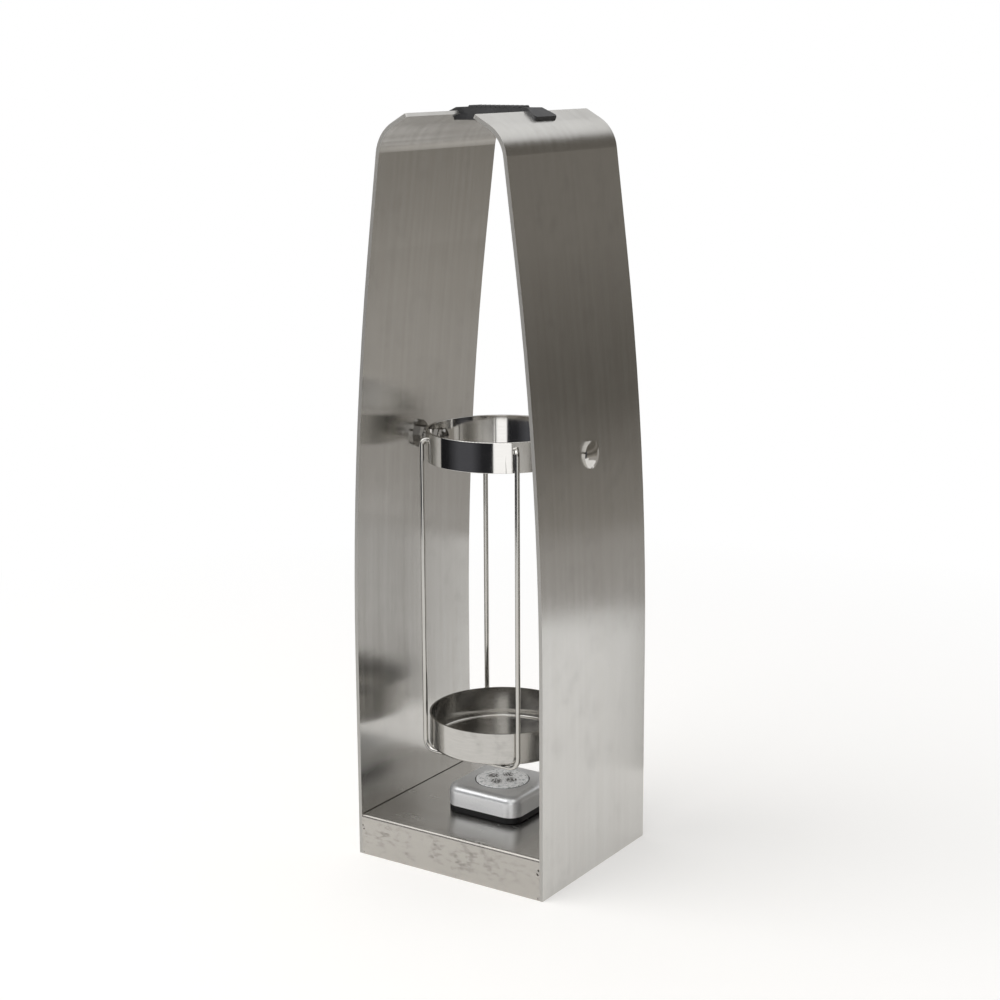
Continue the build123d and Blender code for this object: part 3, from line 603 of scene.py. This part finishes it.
for j in range(lens_sides):
    k = (j + 1) % lens_sides
    lens_faces.append((0, 1 + j, 1 + k))
    for i in range(len(profile) - 1):
        a, b = 1 + i * lens_sides, 1 + (i + 1) * lens_sides
        lens_faces.append((a + j, b + j, b + k, a + k))
    last = 1 + (len(profile) - 1) * lens_sides
    lens_faces.append((last + j, len(lens_points) - 1, last + k))
lens = raise_mesh("fluted_lens", lens_points, lens_faces, clear_lens, "lens", smooth=False)
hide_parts("light_lens")
lens.visible_shadow = False


# Studio: a plain pale floor that fades to white, soft light from above and from the front left,
# and grey screens out of view that the steel mirrors as the dim sides of a room.
def stand(name, points, faces, material):
    """A stage object that isn't part of the product."""
    mesh = bpy.data.meshes.new(name)
    mesh.from_pydata(points, [], faces)
    mesh.materials.append(material)
    thing = bpy.data.objects.new(name, mesh)
    bpy.context.scene.collection.objects.link(thing)
    return thing


def sees_white(tree):
    """1 for the rays of the camera, of gloss and of clear plastic, to which the background is white."""
    path = add(tree, "LightPath")
    seen = add(tree, "Math", {0: path.outputs["Is Camera Ray"], 1: path.outputs["Is Glossy Ray"]},
               operation="MAXIMUM")
    return add(tree, "Math", {0: seen.outputs[0], 1: path.outputs["Is Transmission Ray"]}, operation="MAXIMUM")


floor_paper = bpy.data.materials.new("white_paper")
floor_paper.use_nodes = True
tree = floor_paper.node_tree
tree.nodes.remove(tree.nodes["Principled BSDF"])
seen = sees_white(tree)
floor_radius = 1.2
fade_start, fade_end = floor_radius * 0.2, floor_radius * 0.9
paper_lift = 0.33
reach = add(tree, "VectorMath", {0: add(tree, "TexCoord").outputs["Object"]}, operation="LENGTH")
far = add(tree, "MapRange", {0: reach.outputs["Value"], 1: fade_start, 2: fade_end})
faded = add(tree, "Math", {0: far.outputs[0], 1: seen.outputs[0]}, operation="MULTIPLY")
paper = add(tree, "BsdfDiffuse", {0: linear("#e4e2df")})
lift = add(tree, "Emission", {0: (1, 1, 1, 1), 1: paper_lift})
lifted = add(tree, "AddShader", {0: paper.outputs[0], 1: lift.outputs[0]})
near_part = add(tree, "MixShader", {0: seen.outputs[0], 1: paper.outputs[0], 2: lifted.outputs[0]})
glow = add(tree, "Emission", {0: (1, 1, 1, 1), 1: 1.0})
blend = add(tree, "MixShader", {0: faded.outputs[0], 1: near_part.outputs[0], 2: glow.outputs[0]})
tree.links.new(blend.outputs[0], tree.nodes["Material Output"].inputs["Surface"])
rim_steps = 96
rim = [(floor_radius * math.cos(math.tau * i / rim_steps), floor_radius * math.sin(math.tau * i / rim_steps), 0)
       for i in range(rim_steps)]
stand("floor", rim, [tuple(range(rim_steps))], floor_paper)


def screen(name, away, start, end, foot, top, by_height, stops, tint):
    """A curved screen that only reflections see, away by so many metres from the middle of the base. Its stops
    are degrees of height or of bearing, each with a grey level that the tint colours where it is dark."""
    cloth = bpy.data.materials.new(name + "_cloth")
    cloth.use_nodes = True
    tree = cloth.node_tree
    tree.nodes.remove(tree.nodes["Principled BSDF"])
    at = add(tree, "SeparateXYZ", {0: add(tree, "TexCoord").outputs["Object"]})
    turn = add(tree, "Math", {0: at.outputs[2 if by_height else 1], 1: away if by_height else at.outputs[0]},
               operation="ARCTAN2")
    degrees = add(tree, "Math", {0: turn.outputs[0]}, operation="DEGREES")
    low, high = stops[0][0], stops[-1][0]
    brightest = max(level for value, level in stops)
    share = add(tree, "MapRange", {0: degrees.outputs[0], 1: low, 2: high})
    ramp = add(tree, "ValToRGB", {0: share.outputs[0]})
    while len(ramp.color_ramp.elements) < len(stops):
        ramp.color_ramp.elements.new(0.5)
    for stop, (value, level) in zip(ramp.color_ramp.elements, stops):
        stop.position = (value - low) / (high - low)
        stop.color = [level / brightest * (t + (1 - t) * min(1.0, level)) for t in tint] + [1]
    glow = add(tree, "Emission", {0: ramp.outputs[0], 1: brightest})
    tree.links.new(glow.outputs[0], tree.nodes["Material Output"].inputs["Surface"])
    steps = 72
    points = []
    for i in range(steps + 1):
        bearing = math.radians(start + (end - start) * i / steps)
        points += [(away * math.cos(bearing), away * math.sin(bearing), z) for z in (foot, top)]
    faces = [(i * 2, i * 2 + 2, i * 2 + 3, i * 2 + 1) for i in range(steps)]
    made = stand(name, points, faces, cloth)
    made.visible_camera = made.visible_diffuse = made.visible_shadow = made.visible_transmission = False


# Far walls, dim below and white where the ceiling lights begin
wall_away = 30.0
wall_stops = [(-35, 0.36), (-26, 0.27), (-22, 0.30), (-20, 0.50), (-18, 0.70), (-16.7, 0.57), (-14, 0.40),
              (-12, 0.30), (-9, 0.25), (-7.5, 0.21), (-5.5, 0.13), (-4.2, 0.11), (1.6, 0.18), (3.5, 0.24),
              (6, 0.215), (10, 0.14), (25, 0.14), (28.5, 1.0)]
wall_foot, wall_top = [wall_away * math.tan(math.radians(wall_stops[end][0])) for end in (0, -1)]
screen("room_wall", wall_away, start=0, end=360, foot=wall_foot, top=wall_top, by_height=True,
       stops=wall_stops, tint=(1, 0.91, 0.78))
# The front of the room: dim to the left, a white screen ahead and a grey one to the right
screen("front_screen", 1.15, start=-165, end=5, foot=0, top=0.6, by_height=False,
       stops=[(-165, 0.01), (-142, 0.015), (-122, 0.09), (-100, 0.09), (-84, 0.025), (-67.5, 0.02), (-67, 1.35),
              (-38.5, 1.35), (-38, 0.34), (-28, 0.10), (5, 0.06)], tint=(0.92, 0.94, 1.06))
# Low grey skirtings behind the object, and a card close behind it that the left leaf mirrors
skirting_tint = (1, 0.93, 0.84)
screen("back_right_skirting", 0.85, start=15, end=80, foot=0, top=0.12, by_height=False,
       stops=[(15, 0.40), (80, 0.40)], tint=skirting_tint)
screen("near_card", 0.27, start=52, end=88, foot=0, top=0.175, by_height=False,
       stops=[(52, 0.30), (62, 0.35), (71, 0.58), (82, 0.80), (88, 0.80)], tint=(1, 0.95, 0.88))
screen("back_skirting", 0.6, start=66, end=140, foot=0, top=0.3, by_height=False,
       stops=[(66, 0.38), (140, 0.38)], tint=skirting_tint)


def soft_light(name, place, aim, side, power):
    """A square soft box that looks at a point."""
    data = bpy.data.lights.new(name, "AREA")
    data.shape = "SQUARE"
    data.size = side
    data.energy = power
    lamp = bpy.data.objects.new(name, data)
    lamp.location = place
    lamp.rotation_mode = "QUATERNION"
    lamp.rotation_quaternion = (Vector(aim) - Vector(place)).to_track_quat("-Z", "Y")
    bpy.context.scene.collection.objects.link(lamp)


lit_point = (0, 0, 0.2)
soft_light("overhead_box", (-0.45, -0.55, 2.6), lit_point, side=2.0, power=18.0)
soft_light("front_left_box", (-1.9, -2.3, 1.7), lit_point, side=4.2, power=64.0)

world = bpy.data.worlds.new("white_room")
bpy.context.scene.world = world
world.use_nodes = True
tree = world.node_tree
room_light = 0.5
level = add(tree, "MapRange", {0: sees_white(tree).outputs[0], 3: room_light, 4: 1.0})
tree.links.new(level.outputs[0], tree.nodes["Background"].inputs["Strength"])
tree.nodes["Background"].inputs["Color"].default_value = (1, 1, 1, 1)
bpy.context.scene.view_settings.view_transform = "Standard"


# Camera: to the right of the open front and a little above the crown, looking a little down. Its
# place, turn and focal length come from a fit of the base corners, leaf edges, ring and cup.
camera_data = bpy.data.cameras.new("camera")
camera = bpy.data.objects.new("camera", camera_data)
bpy.context.scene.collection.objects.link(camera)
bpy.context.scene.camera = camera
yaw, pitch, roll = 0.5863, -0.2267, -0.0056
focal_px = 1951.95
frame_px = 1000
camera_place = Vector((848.9, -1279.3, 650.9)) * MM
camera_data.sensor_width = 36.0
camera_data.lens = camera_data.sensor_width * focal_px / frame_px
ahead = Vector((-math.sin(yaw) * math.cos(pitch), math.cos(yaw) * math.cos(pitch), math.sin(pitch)))
level_right = Vector((math.cos(yaw), math.sin(yaw), 0))
level_up = level_right.cross(ahead)
right = level_right * math.cos(roll) + level_up * math.sin(roll)
up = level_up * math.cos(roll) - level_right * math.sin(roll)
stance = Matrix((right, up, -ahead)).transposed().to_4x4()
stance.translation = camera_place
camera.matrix_world = stance
